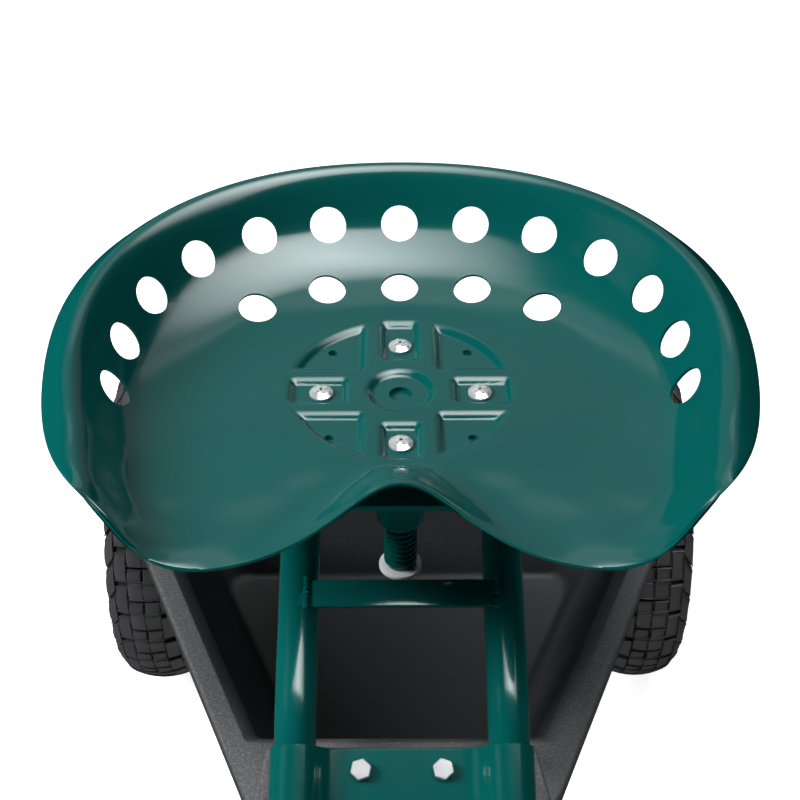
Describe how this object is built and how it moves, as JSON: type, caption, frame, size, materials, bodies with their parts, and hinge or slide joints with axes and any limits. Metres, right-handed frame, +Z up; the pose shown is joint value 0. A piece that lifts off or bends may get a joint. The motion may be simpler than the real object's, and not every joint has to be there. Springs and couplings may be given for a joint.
{
  "type": "rolling garden seat",
  "caption": "Rolling garden seat: dished tractor-style steel seat on a lift screw, bent tube frame with a tool tray, rubber-tyred wheels, steered front axle and sliding pull handle.",
  "frame": {"origin": "on the floor, under the middle of the whole object's box, with the handle at its rest lean", "axes": "+X towards the picture's right, +Y from the handle towards the back of the seat, +Z up"},
  "size_m": [0.453, 1.2237, 0.5226],
  "materials": {
    "green_paint": "glossy dark green powder coat",
    "zinc": "bright zinc plate",
    "dark_steel": "oiled steel",
    "tray_plastic": "dark slate moulded plastic with a fine grain",
    "black_paint": "black paint",
    "tyre_rubber": "matt black rubber with a block tread",
    "grip_rubber": "matt black rubber",
    "knob_plastic": "black moulded plastic",
    "nylon": "natural nylon"
  },
  "bodies": {
    "frame": {"frame_tube_left": "green_paint", "frame_tube_right": "green_paint", "seat_plate": "green_paint", "screw_collar": "green_paint", "front_crossbar": "green_paint", "tube_strap": "green_paint", "strap_bolt_left": "zinc", "strap_bolt_right": "zinc", "strap_nut_left": "zinc", "strap_nut_right": "zinc", "tool_tray": "tray_plastic", "tray_hanger": "green_paint", "hanger_bolt_left": "zinc", "hanger_bolt_right": "zinc", "hanger_nut_left": "zinc", "hanger_nut_right": "zinc", "head_plate": "green_paint", "head_sleeve": "green_paint", "rear_axle_beam": "green_paint", "rear_axle": "dark_steel", "rear_axle_cap_left": "zinc", "rear_axle_cap_right": "zinc"},
    "lift": {"stop_washer": "zinc"},
    "seat": {"seat_pan": "green_paint", "seat_flange": "green_paint", "seat_screw_back": "zinc", "seat_screw_front": "zinc", "seat_screw_left": "zinc", "seat_screw_right": "zinc", "lift_screw": "green_paint", "split_pin": "zinc"},
    "rear_left_wheel": {"rear_left_tyre": "tyre_rubber", "rear_left_rim": "black_paint", "rear_left_bush": "nylon"},
    "rear_right_wheel": {"rear_right_tyre": "tyre_rubber", "rear_right_rim": "black_paint", "rear_right_bush": "nylon"},
    "steering": {"front_axle_beam": "green_paint", "front_axle": "dark_steel", "front_axle_cap_left": "zinc", "front_axle_cap_right": "zinc", "kingpin": "dark_steel", "thrust_washer": "zinc", "kingpin_nut": "zinc", "handle_bracket": "green_paint", "pivot_bolt": "zinc", "pivot_nut": "zinc"},
    "front_left_wheel": {"front_left_tyre": "tyre_rubber", "front_left_rim": "black_paint", "front_left_bush": "nylon"},
    "front_right_wheel": {"front_right_tyre": "tyre_rubber", "front_right_rim": "black_paint", "front_right_bush": "nylon"},
    "handle": {"handle_tube": "green_paint", "handle_clamp": "black_paint"},
    "handle_slide": {"handle_slider": "zinc", "handle_grip": "grip_rubber"},
    "knob": {"lock_knob": "knob_plastic"}
  },
  "joints": [
    {"name": "seat_lift", "type": "slide", "parent": "frame", "child": "lift", "axis": [0, 0, 1], "range_m": [-0.0251, 0.0301]},
    {"name": "seat_spin", "type": "hinge", "parent": "lift", "child": "seat", "pos_m": [0, 0.2355, 0.4], "axis": [0, 0, 1], "range_deg": [-2250, 2700]},
    {"name": "rear_left_roll", "type": "hinge", "parent": "frame", "child": "rear_left_wheel", "pos_m": [-0.186, 0.48251, 0.12937], "axis": [1, 0, 0], "continuous": true},
    {"name": "rear_right_roll", "type": "hinge", "parent": "frame", "child": "rear_right_wheel", "pos_m": [0.186, 0.48251, 0.12937], "axis": [1, 0, 0], "continuous": true},
    {"name": "steer", "type": "hinge", "parent": "frame", "child": "steering", "pos_m": [0, -0.10949, 0.2], "axis": [0, 0, 1], "range_deg": [-30, 30]},
    {"name": "front_left_roll", "type": "hinge", "parent": "steering", "child": "front_left_wheel", "pos_m": [-0.186, -0.10949, 0.12937], "axis": [1, 0, 0], "continuous": true},
    {"name": "front_right_roll", "type": "hinge", "parent": "steering", "child": "front_right_wheel", "pos_m": [0.186, -0.10949, 0.12937], "axis": [1, 0, 0], "continuous": true},
    {"name": "handle_tilt", "type": "hinge", "parent": "steering", "child": "handle", "pos_m": [0, -0.1715, 0.15067], "axis": [1, 0, 0], "range_deg": [-40, 30]},
    {"name": "handle_extend", "type": "slide", "parent": "handle", "child": "handle_slide", "axis": [0, -0.766, 0.6428], "range_m": [0, 0.2]},
    {"name": "knob_turn", "type": "hinge", "parent": "handle", "child": "knob", "pos_m": [0, -0.46106, 0.39365], "axis": [1, 0, 0], "range_deg": [0, 270]}
  ],
  "couplings": [
    {"joint": "seat_lift", "follows": "seat_spin", "m_per_rad": 0.00063662}
  ]
}
